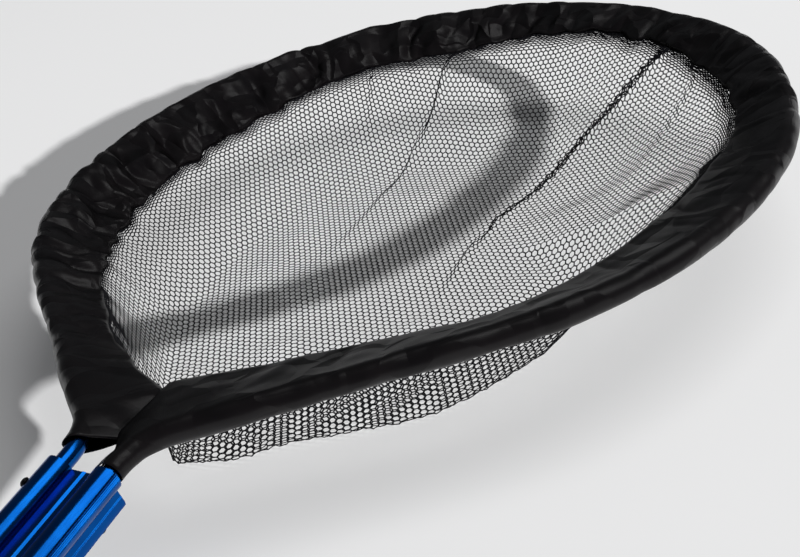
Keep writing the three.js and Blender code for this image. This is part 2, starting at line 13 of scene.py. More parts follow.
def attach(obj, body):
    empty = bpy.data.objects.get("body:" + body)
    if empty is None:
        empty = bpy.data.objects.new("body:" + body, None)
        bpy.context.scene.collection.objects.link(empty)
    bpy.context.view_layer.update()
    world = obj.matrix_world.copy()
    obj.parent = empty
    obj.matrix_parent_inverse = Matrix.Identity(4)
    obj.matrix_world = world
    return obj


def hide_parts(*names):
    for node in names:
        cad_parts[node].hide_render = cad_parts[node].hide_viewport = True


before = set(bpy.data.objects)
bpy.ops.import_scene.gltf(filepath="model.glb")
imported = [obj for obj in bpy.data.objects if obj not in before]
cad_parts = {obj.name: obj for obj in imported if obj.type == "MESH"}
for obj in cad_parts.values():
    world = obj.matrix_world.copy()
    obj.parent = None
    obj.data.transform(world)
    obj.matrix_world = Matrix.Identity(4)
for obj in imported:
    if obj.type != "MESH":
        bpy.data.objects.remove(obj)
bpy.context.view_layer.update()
scene = bpy.context.scene
scene.view_settings.view_transform = "Standard"


# Hoop. One length of 12 mm aluminium tube, rolled round and bent at the neck into two legs that go into
# the yoke. It is blue anodised, and it shows only where the hem leaves the legs bare.
TUBE_R = 0.006
HOOP_R = 0.308
HOOP_Z = 0.096
NECK_Y = -0.378
LEG_X = 0.0192
LEG_SLOPE = math.radians(5.6785)
LEG_BEND = 0.022
LEG_IN_YOKE = 0.146
YOKE_TO_NECK = 0.0285
TUBE_POINTS = 420
corner_reach = math.hypot(LEG_X, NECK_Y)
FLARE = math.asin(HOOP_R / corner_reach) - math.atan2(LEG_X, -NECK_Y)
ARC = HOOP_R * (math.pi / 2 + FLARE)
STRAIGHT = math.sqrt(corner_reach**2 - HOOP_R**2) - LEG_BEND
flare_back = Vector((-math.sin(FLARE), -math.cos(FLARE), 0))
leg_back = Vector((0, -math.cos(LEG_SLOPE), -math.sin(LEG_SLOPE)))
bend_angle = flare_back.angle(leg_back)
BEND_R = LEG_BEND / math.tan(bend_angle / 2)
BEND = BEND_R * bend_angle
TO_YOKE = ARC + STRAIGHT + BEND + YOKE_TO_NECK - LEG_BEND


def hoop_at(run):
    """Point, direction and inward direction on the tube's centre line, at a run from the hoop's far end.
    A run to the right is positive, and one to the left is its mirror image."""
    rest = abs(run)
    flare_start = Vector((HOOP_R * math.cos(FLARE), -HOOP_R * math.sin(FLARE), HOOP_Z))
    if rest < ARC:
        angle = math.pi / 2 - rest / HOOP_R
        point = Vector((HOOP_R * math.cos(angle), HOOP_R * math.sin(angle), HOOP_Z))
        along = Vector((math.sin(angle), -math.cos(angle), 0))
    elif rest < ARC + STRAIGHT:
        point = flare_start + flare_back * (rest - ARC)
        along = flare_back.copy()
    else:
        bend_start = flare_start + flare_back * STRAIGHT
        across = (leg_back - flare_back * math.cos(bend_angle)).normalized()
        turn = min((rest - ARC - STRAIGHT) / BEND_R, bend_angle)
        along = flare_back * math.cos(turn) + across * math.sin(turn)
        point = bend_start + BEND_R * (flare_back * math.sin(turn) + across * (1 - math.cos(turn)))
        point += along * max(0, rest - ARC - STRAIGHT - BEND)
    inward = along.cross(Vector((0, 0, 1))).normalized()
    if run < 0:
        for way in (point, along, inward):
            way.x = -way.x
    return point, along, inward


def linear(hex_colour):
    """An sRGB hex colour as the linear colour that a shader takes."""
    shares = [int(hex_colour[i : i + 2], 16) / 255 for i in (1, 3, 5)]
    return [c / 12.92 if c <= 0.04045 else ((c + 0.055) / 1.055) ** 2.4 for c in shares] + [1]


def add_node(material, kind, inputs=(), **settings):
    """A node with its settings, and with its inputs set to values or linked to other nodes' outputs."""
    made = material.node_tree.nodes.new(kind)
    for name, value in settings.items():
        setattr(made, name, value)
    for name, value in dict(inputs).items():
        if isinstance(value, bpy.types.NodeSocket):
            material.node_tree.links.new(value, made.inputs[name])
        else:
            made.inputs[name].default_value = value
    return made


def new_material(name):
    """A new material and its main shader."""
    material = bpy.data.materials.new(name)
    material.use_nodes = True
    return material, material.node_tree.nodes["Principled BSDF"]


# Blue anodised aluminium, drawn and then dyed: a clear deep blue metal with faint die lines along it.
# Lines 0.5 mm apart are drawn, coarser than real ones, so that they show.
anodised, shader = new_material("blue_anodised_aluminium")
links = anodised.node_tree.links
place = add_node(anodised, "ShaderNodeTexCoord").outputs["Object"]
drawn = add_node(anodised, "ShaderNodeMapping", {"Vector": place, "Scale": (1, 0.01, 1)}).outputs["Vector"]
lines = add_node(
    anodised, "ShaderNodeTexNoise", {"Vector": drawn, "Scale": 1 / 0.0005, "Detail": 2}
).outputs["Fac"]
cloudy = add_node(
    anodised, "ShaderNodeTexNoise", {"Vector": place, "Scale": 1 / 0.03, "Detail": 3}
).outputs["Fac"]
dye = add_node(anodised, "ShaderNodeValToRGB", {"Fac": cloudy})
dye.color_ramp.elements[0].position = 0.35
dye.color_ramp.elements[0].color = linear("#064690")
dye.color_ramp.elements[1].position = 0.7
dye.color_ramp.elements[1].color = linear("#0854A2")
gloss = add_node(
    anodised,
    "ShaderNodeMapRange",
    {"Value": lines, "From Min": 0.3, "From Max": 0.7, "To Min": 0.16, "To Max": 0.24},
)
grooves = add_node(anodised, "ShaderNodeBump", {"Height": lines, "Strength": 0.12, "Distance": 0.0001})
links.new(dye.outputs["Color"], shader.inputs["Base Color"])
links.new(gloss.outputs["Result"], shader.inputs["Roughness"])
links.new(grooves.outputs["Normal"], shader.inputs["Normal"])
shader.inputs["Metallic"].default_value = 1


def new_piece(name, mesh, material, body):
    """A finished piece at the origin, on its body, with its material."""
    piece = bpy.data.objects.new(name, mesh)
    scene.collection.objects.link(piece)
    mesh.materials.clear()
    mesh.materials.append(material)
    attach(piece, body)
    return piece


tube_line = bpy.data.curves.new("hoop_line", "CURVE")
tube_line.dimensions = "3D"
tube_line.bevel_depth = TUBE_R
tube_line.bevel_resolution = 6
tube_line.use_fill_caps = True
tube_runs = np.linspace(-TO_YOKE - LEG_IN_YOKE, TO_YOKE + LEG_IN_YOKE, TUBE_POINTS)
spline = tube_line.splines.new("POLY")
spline.points.add(len(tube_runs) - 1)
for spot, run in zip(spline.points, tube_runs):
    spot.co = (*hoop_at(run)[0], 1)
bent_tube = bpy.data.objects.new("hoop_line", tube_line)
scene.collection.objects.link(bent_tube)
tube_mesh = bpy.data.meshes.new_from_object(bent_tube.evaluated_get(bpy.context.evaluated_depsgraph_get()))
bpy.data.objects.remove(bent_tube)
tube_mesh.shade_smooth()
hoop = new_piece("hoop_tube", tube_mesh, anodised, "head")
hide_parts("hoop_frame")


# Hem. A strip of shiny black nylon taffeta folded over the tube, with its two edges sewn together inside
# the hoop. It is cut longer than the hoop and gathered on it, most on the far left. At the neck both
# sides meet in a seam, and the sleeves end short of the yoke, the left one further.
HEM_R = 0.0082
HEM_BARE_LEFT = 0.014
HEM_BARE_RIGHT = 0.003
HEM_SLEEVE_REACH = 0.0115
HEM_SLEEVE_NARROWING = 0.008
HEM_LAP = 0.006
CROTCH_Y = -0.3815
SEAM_GAP = 0.0006
HEM_STEP = 0.0022
HEM_ROWS = 48
HEM_TILT_STEP = 0.004
FULLEST = 0.16
EDGE_WAVE = 0.007
EDGE_WAVE_LENGTH = 0.026
CLOTH = 0.0004
MOUTH_SLANT = 0.010
MOUTH_LENGTH = 0.050
# The cloth swells between the gathers and breaks into flat facets. Both stray by a share of their length.
PUFF_HEIGHT = 0.009
PUFF_LENGTH = 0.034
PUFF_SLANT = 0.3
PUFF_MEAN = 0.6
GATHER_STRAY = 0.4
GATHER_STRAY_LENGTH = 1.7
GATHER_SPREAD = 0.25
GATHER_SHARPNESS = 4
FACET_HEIGHT = 0.006
FACET_LENGTH = 0.034
FACET_WIDTH = 0.023
FACET_STRAY = 0.6
FACET_STRAY_LENGTH = 2.3
# It is loosest in the middle of the band, and it can be pressed in only as far as the tube or the other
# layer of the band.
LOOSE_LEAST = 0.3
LOOSE_SWELL = 0.6
ROOM_OVER_TUBE = 0.8
ROOM_IN_BAND = 0.9
WAVER = 0.0012
WAVER_LENGTH = 0.06
# Where the sewn edge is round the hoop: run from the far end, distance inside the tube, drop below it, and
# how much longer than the hoop the cloth is there.
hem_keys = np.array(
    [
        (-1.00, 0.060, 0.007, 1.03),
        (-0.96, 0.050, 0.007, 1.03),
        (-0.92, 0.040, 0.008, 1.04),
        (-0.85, 0.032, 0.011, 1.06),
        (-0.75, 0.040, 0.017, 1.12),
        (-0.65, 0.050, 0.026, 1.16),
        (-0.47, 0.051, 0.030, 1.16),
        (-0.36, 0.050, 0.029, 1.16),
        (-0.27, 0.049, 0.021, 1.15),
        (-0.18, 0.047, 0.018, 1.15),
        (-0.09, 0.048, 0.019, 1.14),
        (0.00, 0.040, 0.012, 1.13),
        (0.07, 0.033, 0.007, 1.12),
        (0.16, 0.032, 0.007, 1.12),
        (0.26, 0.034, 0.010, 1.11),
        (0.36, 0.036, 0.012, 1.10),
        (0.42, 0.040, 0.012, 1.08),
        (0.48, 0.049, 0.010, 1.06),
        (0.59, 0.051, 0.008, 1.04),
        (0.70, 0.046, 0.012, 1.04),
        (0.77, 0.038, 0.010, 1.05),
        (0.83, 0.046, 0.009, 1.05),
        (0.90, 0.053, 0.008, 1.04),
        (0.96, 0.060, 0.005, 1.03),
        (1.00, 0.060, 0.004, 1.03),
    ]
)


def hem_edge(run):
    """The sewn edge's distances inside the tube and below it, and the cloth's fullness, at a run."""
    inset, drop, fullness = (np.interp(run, hem_keys[:, 0], hem_keys[:, k]) for k in (1, 2, 3))
    wave = noise.noise(Vector((run / EDGE_WAVE_LENGTH, 0, 11))) * (fullness - 1) / FULLEST
    inset += EDGE_WAVE * wave
    drop += EDGE_WAVE / 2 * wave
    point, _, inward = hoop_at(run)
    to_middle = abs(point.x) / max(abs(inward.x), 1e-6)
    if run < 0 and point.y < 0:
        inset = min(inset, to_middle - SEAM_GAP)
    if run > 0 and point.y < 0:
        inset = min(inset, to_middle + HEM_LAP)
        sleeve = min(1, max(0, (CROTCH_Y - point.y) / HEM_SLEEVE_NARROWING))
        inset += (HEM_SLEEVE_REACH - inset) * sleeve
        drop *= 1 - sleeve
    return inset, drop, fullness


def hem_section(inset, drop, share):
    """Place on the sleeve, from its lower sewn edge at 0 round the tube to its upper one at 1, as
    distances inward and up from the tube's centre, and the length of the way there."""
    reach = math.hypot(inset, drop)
    aim = math.atan2(-drop, inset)
    touch = math.acos(HEM_R / reach)
    straight = math.sqrt(reach**2 - HEM_R**2)
    whole = 2 * straight + HEM_R * (2 * math.pi - 2 * touch)
    way = share * whole
    edge = Vector((inset, -drop))
    if way < straight:
        low = Vector((math.cos(aim - touch), math.sin(aim - touch))) * HEM_R
        return edge.lerp(low, way / straight), whole
    if way > whole - straight:
        high = Vector((math.cos(aim + touch), math.sin(aim + touch))) * HEM_R
        return edge.lerp(high, (whole - way) / straight), whole
    angle = aim - touch - (way - straight) / HEM_R
    return Vector((math.cos(angle), math.sin(angle))) * HEM_R, whole


hem_start = -TO_YOKE + HEM_BARE_LEFT
hem_end = TO_YOKE - HEM_BARE_RIGHT
hem_columns = round((hem_end - hem_start) / HEM_STEP)
hem_runs = np.linspace(hem_start, hem_end, hem_columns + 1)
hem_places = [hem_edge(run) for run in hem_runs]
hem_cut_runs = np.concatenate([[0], np.cumsum([HEM_STEP * place[2] for place in hem_places[1:]])])


def facets(along, across):
    """Height, from -1 to 1, of crumpled cloth with flat facets about one unit wide between creases."""
    length = FACET_STRAY_LENGTH
    along += FACET_STRAY * noise.noise(Vector((along / length, across / length, 1)))
    across += FACET_STRAY * noise.noise(Vector((along / length, across / length, 2)))
    i, j = math.floor(along), math.floor(across)
    a, b = along - i, across - j
    near, right, far, both = (
        noise.cell(Vector((i + m + 0.5, j + n + 0.5, 0.5))) for m, n in ((0, 0), (1, 0), (0, 1), (1, 1))
    )
    if a + b < 1:
        return near + (right - near) * a + (far - near) * b
    return both + (far - both) * (1 - a) + (right - both) * (1 - b)


def puffs(along, across):
    """Height, from 0 to 1, of cloth that lies smooth between wandering gathers about one unit apart, some
    of them deep and some hardly drawn in."""
    along += GATHER_STRAY * noise.noise(Vector((along / GATHER_STRAY_LENGTH, across, 23)))
    i = math.floor(along)
    gathers = [
        k + GATHER_SPREAD + GATHER_SPREAD * noise.cell(Vector((k + 0.5, 0.5, 21.5)))
        for k in (i - 1, i, i + 1)
    ]
    start, end = gathers[:2] if along < gathers[1] else gathers[1:]
    part = (along - start) / (end - start)
    first, last = (0.5 + 0.5 * noise.cell(Vector((spot, 0.5, 22.5))) for spot in (start, end))
    return 1 - first * (1 - part) ** GATHER_SHARPNESS - last * part**GATHER_SHARPNESS


# The strip is a grid, wrapped round the tube from its lower sewn edge to its upper one and pushed out along
# its own slope. Its UV map is the cloth laid flat.
strip = bmesh.new()
bmesh.ops.create_grid(strip, x_segments=hem_columns, y_segments=HEM_ROWS, size=0.5, calc_uvs=False)
strip_uv = strip.loops.layers.uv.new("cut")
strip_full = strip.verts.layers.float.new("fullness")
hem_cut = []
for vert in strip.verts:
    column = round((vert.co.x + 0.5) * hem_columns)
    share = vert.co.y + 0.5
    to_mouth = max(0, 1 - (hem_runs[column] - hem_start) / MOUTH_LENGTH)
    run = hem_runs[column] + MOUTH_SLANT * to_mouth * abs(2 * share - 1)
    point, along, inward = hoop_at(run)
    up = inward.cross(along) * (1 if run > 0 else -1)
    inset, drop, fullness = hem_edge(run) if to_mouth else hem_places[column]
    spot, whole = hem_section(inset, drop, share)
    before, after = (
        hem_section(inset, drop, min(1, max(0, share + step)))[0]
        for step in (-HEM_TILT_STEP, HEM_TILT_STEP)
    )
    out = Vector((before.y - after.y, after.x - before.x)).normalized()
    full = (fullness - 1) / FULLEST
    on_band = min(1, max(0, spot.length - HEM_R) / (math.hypot(inset, drop) - HEM_R))
    far_on, across = hem_cut_runs[column], share * whole
    loose = LOOSE_LEAST + (1 - LOOSE_LEAST) * math.sin(math.pi * on_band) ** LOOSE_SWELL
    slanted = far_on + PUFF_SLANT * on_band * inset
    puff = PUFF_HEIGHT * (puffs(slanted / PUFF_LENGTH, across / PUFF_LENGTH) - PUFF_MEAN)
    puff += FACET_HEIGHT * facets(far_on / FACET_LENGTH, across / FACET_WIDTH)
    puff = full * loose * puff + WAVER * noise.noise(Vector((far_on / WAVER_LENGTH, 0, 9))) * (1 - on_band)
    room = min(ROOM_OVER_TUBE * (spot.length - TUBE_R), ROOM_IN_BAND * HEM_R * (1 - on_band))
    if 0 < share < 1:
        spot += out * max(puff, -room)
    apart = SEAM_GAP * (1 if share > 0.5 else -1) * on_band
    vert.co = point + inward * spot.x + up * (spot.y + apart)
    vert[strip_full] = full
    hem_cut.append((far_on, across))
for face in strip.faces:
    face.smooth = True
    for loop in face.loops:
        loop[strip_uv].uv = hem_cut[loop.vert.index]
hem_mesh = bpy.data.meshes.new("hem_cloth")
strip.to_mesh(hem_mesh)
strip.free()

# Nylon taffeta: a tight plain weave of bright filament, black, creased into flat facets where it is
# gathered, with a satin shine on them. The threads are drawn 0.5 mm apart, coarser than real ones, and the
# facets lie up to about 48 mm apart.
THREAD_SPACING = 0.0005
CREASE_SPACING = 0.048
CREASE_STRAY = 0.022
taffeta, shader = new_material("black_nylon_taffeta")
links = taffeta.node_tree.links
cut_place = add_node(taffeta, "ShaderNodeUVMap", uv_map="cut").outputs["UV"]
threads = [
    add_node(
        taffeta,
        "ShaderNodeTexWave",
        {"Vector": cut_place, "Scale": 1 / THREAD_SPACING / 20 * math.pi, "Distortion": 0.6, "Detail": 1},
        bands_direction=way,
    ).outputs["Fac"]
    for way in ("X", "Y")
]
weave = add_node(taffeta, "ShaderNodeMath", {0: threads[0], 1: threads[1]}, operation="MULTIPLY").outputs[0]
cloudy = add_node(
    taffeta, "ShaderNodeTexNoise", {"Vector": cut_place, "Scale": 1 / 0.03, "Detail": 1}
).outputs
wander = add_node(
    taffeta, "ShaderNodeVectorMath", {0: cloudy["Color"], "Scale": CREASE_STRAY}, operation="SCALE"
).outputs["Vector"]
strayed = add_node(taffeta, "ShaderNodeVectorMath", {0: cut_place, 1: wander}).outputs["Vector"]
creases = add_node(
    taffeta,
    "ShaderNodeTexVoronoi",
    {"Vector": strayed, "Scale": 1 / CREASE_SPACING},
    distance="MANHATTAN",
).outputs["Distance"]
gathered = add_node(taffeta, "ShaderNodeAttribute", attribute_name="fullness").outputs["Fac"]
depth = add_node(
    taffeta, "ShaderNodeMapRange", {"Value": gathered, "From Min": 0, "To Min": 0.06, "To Max": 0.9}
).outputs["Result"]
faded = add_node(taffeta, "ShaderNodeValToRGB", {"Fac": cloudy["Fac"]})
faded.color_ramp.elements[0].position = 0.3
faded.color_ramp.elements[0].color = linear("#060506")
faded.color_ramp.elements[1].position = 0.75
faded.color_ramp.elements[1].color = linear("#0B090A")
fine = add_node(taffeta, "ShaderNodeBump", {"Height": weave, "Strength": 0.15, "Distance": 0.0002})
crumple = add_node(
    taffeta,
    "ShaderNodeBump",
    {"Height": creases, "Strength": depth, "Distance": 0.013, "Normal": fine.outputs["Normal"]},
)
links.new(faded.outputs["Color"], shader.inputs["Base Color"])
links.new(crumple.outputs["Normal"], shader.inputs["Normal"])
shader.inputs["Roughness"].default_value = 0.36
shader.inputs["IOR"].default_value = 1.53
shader.inputs["Specular IOR Level"].default_value = 0.2

hem = new_piece("hem_cloth", hem_mesh, taffeta, "head")
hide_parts("hem_sleeve")
thick = hem.modifiers.new("cloth_thickness", "SOLIDIFY")
thick.thickness = CLOTH
thick.offset = 0


# Bag. Soft knotless netting of six-sided gaps, knitted to a shallow bowl, sewn all round to the hem's
# inner edge, and lying on the ground in the middle. It hangs steeply on the near side and at the neck and
# slopes on the far side. Two long pleats and two short ones run from the far hem across it.
NET_PITCH = 0.0058
NET_STRAND = 0.0015
STRAND_FLATNESS = 0.48
NET_TURN = math.radians(4)
NET_FLOOR_R = 0.192
NET_FLOOR_AT = Vector((0.012, -0.068))
RIM_STEP = 0.002
# The netting is gathered into the seam, most at the sewn edge.
RIM_GATHER = 2.5
RIM_GATHER_FROM = 0.93
RIM_GATHER_WIDTH = 0.07
SEAM_REACH = 0.001
SHEET_STEP = 0.008
SHEET_HALF = 52
LATTICE_WIDTH = 0.80
LATTICE_LENGTH = 0.84
FLOOR_Z = 0.0012
RIPPLE = 0.02
RIPPLE_LENGTH = 0.05
HELD_SHARE = 0.1
PLEAT_RUN = 0.100
PLEAT_LEAN = 0.6
PLEAT_RISE = 0.8
# Where the netting leaves the ground: bearing from the neck, to the right, distance from the middle, and
# how the wall curves up from there, 1 being straight.
floor_keys = np.array(
    [
        (-180, 0.130, 1.7),
        (-120, 0.130, 1.7),
        (-90, 0.150, 1.6),
        (-60, 0.190, 1.4),
        (-30, 0.250, 1.3),
        (-15, 0.290, 1.6),
        (-8, 0.313, 2.0),
        (0, 0.292, 1.6),
        (6, 0.268, 1.5),
        (16, 0.254, 1.4),
        (30, 0.244, 1.3),
        (40, 0.228, 1.3),
        (51, 0.216, 1.3),
        (61, 0.190, 1.7),
        (75, 0.130, 1.9),
        (90, 0.075, 1.4),
        (110, 0.070, 1.35),
        (130, 0.090, 1.5),
        (180, 0.130, 1.7),
    ]
)
# The hem's sewn edge from above: bearing, distance from the middle and height. Then the bag's profile at
# each bearing: distances from the middle, heights, and how far along the netting each of them is.
rim = []
for run in np.arange(-TO_YOKE, TO_YOKE, RIM_STEP):
    point, _, inward = hoop_at(run)
    inset, drop, _ = hem_edge(run)
    edge = point + inward * inset - Vector((0, 0, drop))
    free = abs(edge.x) > SEAM_REACH or edge.y > 0
    if point.y > CROTCH_Y and free:
        rim.append((math.atan2(edge.x, -edge.y), math.hypot(edge.x, edge.y), edge.z))
rim = np.array(sorted(rim))
BEARINGS = 720
BAG_STEPS = 30
bag_radii = np.zeros((BEARINGS, BAG_STEPS + 1))
bag_heights = np.zeros((BEARINGS, BAG_STEPS + 1))
bag_ways = np.zeros((BEARINGS, BAG_STEPS + 1))
for k in range(BEARINGS):
    bearing = 2 * math.pi * k / BEARINGS - math.pi
    degrees = math.degrees(bearing)
    reach, rim_z = (np.interp(bearing, rim[:, 0], rim[:, column], period=2 * math.pi) for column in (1, 2))
    flat_r, curve = (np.interp(degrees, floor_keys[:, 0], floor_keys[:, column]) for column in (1, 2))
    share = np.linspace(0, 1, BAG_STEPS + 1)
    bag_radii[k] = flat_r + (reach - flat_r) * share
    bag_heights[k] = FLOOR_Z + (rim_z - FLOOR_Z) * share**curve
    steps = np.hypot(np.diff(bag_radii[k]), np.diff(bag_heights[k]))
    eased = 1 + RIM_GATHER * np.clip((share[1:] - RIM_GATHER_FROM) / RIM_GATHER_WIDTH, 0, 1)
    bag_ways[k] = flat_r + np.concatenate([[0], np.cumsum(steps * eased)])
# The pleats, from left to right: how far back each starts, its place there, its slope and bend to the
# right, and its width at a run of 100 mm.
pleats = [
    (0.140, -0.080, -0.38, 0, 0.006),
    (-0.080, -0.088, 0.02, 0, 0.0035),
    (-0.090, 0.050, 0, 2.3, 0.009),
    (0.040, 0.157, 0.31, 0, 0.005),
]


def unpleated(flat):
    """A place on the spread netting as it is with the pleats laid in, and its depth inside one."""
    x = flat.x
    for tip, place, slope, bend, width in pleats:
        deep = width * max(0, flat.y - tip) / PLEAT_RUN
        across = x - place - slope * flat.y - bend * max(flat.y, 0) ** 2
        if across > deep:
            x -= deep
        elif across > 0:
            inside = min(across, deep - across)
            return Vector((x - across - PLEAT_LEAN * inside, flat.y)), inside
    return Vector((x, flat.y)), 0


def bag_place(spot):
    """Where a place of the netting is in the bag, and its share of the way to the sewn edge."""
    bearing = math.atan2(spot.x, -spot.y)
    k = round((bearing + math.pi) / (2 * math.pi) * BEARINGS) % BEARINGS
    way = spot.length
    share = way / bag_ways[k, -1]
    if way <= bag_ways[k, 0]:
        return Vector((spot.x, spot.y, FLOOR_Z)), share
    beyond = max(0, way - bag_ways[k, -1]) / (bag_ways[k, -1] - bag_ways[k, -2])
    radius = np.interp(way, bag_ways[k], bag_radii[k]) + beyond * (bag_radii[k, -1] - bag_radii[k, -2])
    z = np.interp(way, bag_ways[k], bag_heights[k]) + beyond * (bag_heights[k, -1] - bag_heights[k, -2])
    return Vector((radius * math.sin(bearing), -radius * math.cos(bearing), z)), share


def hung(flat):
    """Where a place of the spread netting lies in the bag, with its pleats and ripples, and its share."""
    spot, inside = unpleated(flat)
    place, share = bag_place(spot)
    loose = max(0, 1 - share)
    wave = noise.noise(Vector((flat.x / RIPPLE_LENGTH, flat.y / RIPPLE_LENGTH, 5)))
    ripple = RIPPLE * loose * share * wave
    place.z = max(FLOOR_Z, place.z + min(1, loose / HELD_SHARE) * (ripple + PLEAT_RISE * inside))
    return place, share


# The spread netting as a coarse sheet, cut off at the sewn edge, and where each of its corners hangs.
sheet = bmesh.new()
segments = 2 * SHEET_HALF
bmesh.ops.create_grid(sheet, x_segments=segments, y_segments=segments, size=SHEET_HALF * SHEET_STEP)
outside = [f for f in sheet.faces if hung(f.calc_center_median().to_2d())[1] > 1]
bmesh.ops.delete(sheet, geom=outside, context="FACES")
bmesh.ops.triangulate(sheet, faces=sheet.faces)
for vert in sheet.verts:
    if vert.is_boundary:
        for _ in range(3):
            vert.co /= hung(vert.co.to_2d())[1]
sheet.verts.index_update()
net_spread = [vert.co.copy() for vert in sheet.verts]
cut_faces = [[v.index for v in f.verts] for f in sheet.faces]
for vert in sheet.verts:
    vert.co = hung(vert.co.to_2d())[0]
net_points = [vert.co.copy() for vert in sheet.verts]
sheet.free()

# The gaps: one six-sided gap is repeated across, then once half a gap over, and then row by row. What lies
# past the sewn edge is cut off, the rest is laid on the hung sheet, and its edges become strands, which are
# then pressed flat.
lattice = bmesh.new()
bmesh.ops.create_circle(lattice, cap_ends=True, radius=NET_PITCH / math.sqrt(3), segments=6)
row_step = NET_PITCH * math.sqrt(3) / 2
across_count = round(LATTICE_WIDTH / NET_PITCH)
row_count = round(LATTICE_LENGTH / row_step / 2)
spin = {"axis": (0, 0, 1), "cent": (0, 0, 0), "angle": 0, "use_duplicate": True}
bmesh.ops.spin(lattice, geom=lattice.faces[:], dvec=(NET_PITCH, 0, 0), steps=across_count, **spin)
bmesh.ops.spin(lattice, geom=lattice.faces[:], dvec=(NET_PITCH / 2, row_step, 0), steps=1, **spin)
bmesh.ops.spin(lattice, geom=lattice.faces[:], dvec=(0, 2 * row_step, 0), steps=row_count, **spin)
bmesh.ops.remove_doubles(lattice, verts=lattice.verts, dist=NET_PITCH / 20)
centre = Vector((across_count * NET_PITCH / 2, row_count * row_step, 0))
bmesh.ops.translate(lattice, verts=lattice.verts, vec=-centre)
bmesh.ops.rotate(lattice, verts=lattice.verts, cent=(0, 0, 0), matrix=Matrix.Rotation(NET_TURN, 3, "Z"))
off_cut = [f for f in lattice.faces if hung(f.calc_center_median().to_2d())[1] > 1]
bmesh.ops.delete(lattice, geom=off_cut, context="FACES")
for face in lattice.faces:
    spot, _ = unpleated(face.calc_center_median().to_2d())
    face.material_index = (spot - NET_FLOOR_AT).length > NET_FLOOR_R
flat_tree = BVHTree.FromPolygons(net_spread, cut_faces)
for vert in lattice.verts:
    near, _, index, _ = flat_tree.find_nearest(vert.co)
    flat_three = [net_spread[i] for i in cut_faces[index]]
    hung_three = [net_points[i] for i in cut_faces[index]]
    vert.co = barycentric_transform(near, *flat_three, *hung_three)
lattice.normal_update()
net_surface = BVHTree.FromBMesh(lattice)
bmesh.ops.wireframe(
    lattice,
    faces=lattice.faces[:],
    thickness=NET_STRAND,
    offset=0,
    use_replace=True,
    use_boundary=False,
    use_even_offset=False,
)
for vert in lattice.verts:
    vert.co = net_surface.find_nearest(vert.co)[0].lerp(vert.co, STRAND_FLATNESS)
for face in lattice.faces:
    face.smooth = True

# Knotless polyester netting, knitted from dull black yarn, with the twist of the yarn as fine flecks.
netting, shader = new_material("black_polyester_netting")
links = netting.node_tree.links
place = add_node(netting, "ShaderNodeTexCoord").outputs["Object"]
yarn = add_node(
    netting, "ShaderNodeTexNoise", {"Vector": place, "Scale": 1 / 0.0012, "Detail": 2}
).outputs["Fac"]
fleck = add_node(netting, "ShaderNodeValToRGB", {"Fac": yarn})
fleck.color_ramp.elements[0].position = 0.35
fleck.color_ramp.elements[0].color = linear("#060608")
fleck.color_ramp.elements[1].position = 0.7
fleck.color_ramp.elements[1].color = linear("#121215")
links.new(fleck.outputs["Color"], shader.inputs["Base Color"])
shader.inputs["Roughness"].default_value = 0.6
shader.inputs["Specular IOR Level"].default_value = 0.12

net_pieces = {}
for index, node in enumerate(("net_floor", "net_wall")):
    part = lattice.copy()
    bmesh.ops.delete(part, geom=[f for f in part.faces if f.material_index != index], context="FACES")
    for face in part.faces:
        face.material_index = 0
    mesh = bpy.data.meshes.new(f"{node}_netting")
    part.to_mesh(mesh)
    part.free()
    net_pieces[node] = new_piece(f"{node}_netting", mesh, netting, "head")
    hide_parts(node)
lattice.free()


# Yoke. A square-cut length of the same aluminium, extruded with two barrels for the hoop's legs, ribbed
# flanks, steep skirts and a socket below for the pole. Its edges are only just broken.
def welded(node, name, material, body, edge, sides=32):
    """The node's shape as one welded surface with its edges broken. Faces that meet at up to the angle
    sides, in degrees, are shaded as one round face."""
    bm = bmesh.new()
    bm.from_mesh(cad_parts[node].data)
    bmesh.ops.remove_doubles(bm, verts=bm.verts, dist=1e-6)
    bmesh.ops.dissolve_limit(bm, angle_limit=math.radians(1), verts=bm.verts, edges=bm.edges)
    sharp = [e for e in bm.edges if len(e.link_faces) == 2 and e.calc_face_angle() > math.radians(sides)]
    bmesh.ops.bevel(
        bm,
        geom=sharp,
        offset=edge,
        offset_type="OFFSET",
        affect="EDGES",
        segments=2,
        profile=0.5,
        material=-1,
        clamp_overlap=True,
    )
    for face in bm.faces:
        face.smooth = True
    mesh = bpy.data.meshes.new(name)
    bm.to_mesh(mesh)
    bm.free()
    mesh.set_sharp_from_angle(angle=math.radians(sides))
    piece = new_piece(name, mesh, material, body)
    even = piece.modifiers.new("even_shading", "WEIGHTED_NORMAL")
    even.keep_sharp = True
    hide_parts(node)
    return piece


welded("yoke", "yoke_extrusion", anodised, "head", edge=0.00012)


# Screws. Three short steel socket screws, two of which hold the hoop's legs in the yoke's barrels and one
# the pole in its socket. The right leg's comes up from below.
# Black oxide on steel: a dull near-black metal, rubbed paler in specks drawn 1 mm across.
black_oxide, shader = new_material("black_oxide_steel")
links = black_oxide.node_tree.links
place = add_node(black_oxide, "ShaderNodeTexCoord").outputs["Object"]
mottle = add_node(
    black_oxide, "ShaderNodeTexNoise", {"Vector": place, "Scale": 1 / 0.001, "Detail": 3}
).outputs["Fac"]
rubbed = add_node(black_oxide, "ShaderNodeValToRGB", {"Fac": mottle})
rubbed.color_ramp.elements[0].color = linear("#0C0C0E")
rubbed.color_ramp.elements[1].color = linear("#2A2A2D")
links.new(rubbed.outputs["Color"], shader.inputs["Base Color"])
shader.inputs["Metallic"].default_value = 0.9
shader.inputs["Roughness"].default_value = 0.42
for node in ("leg_screw_left", "leg_screw_right", "pole_screw"):
    welded(node, f"{node}_steel", black_oxide, "head", edge=0.0002)


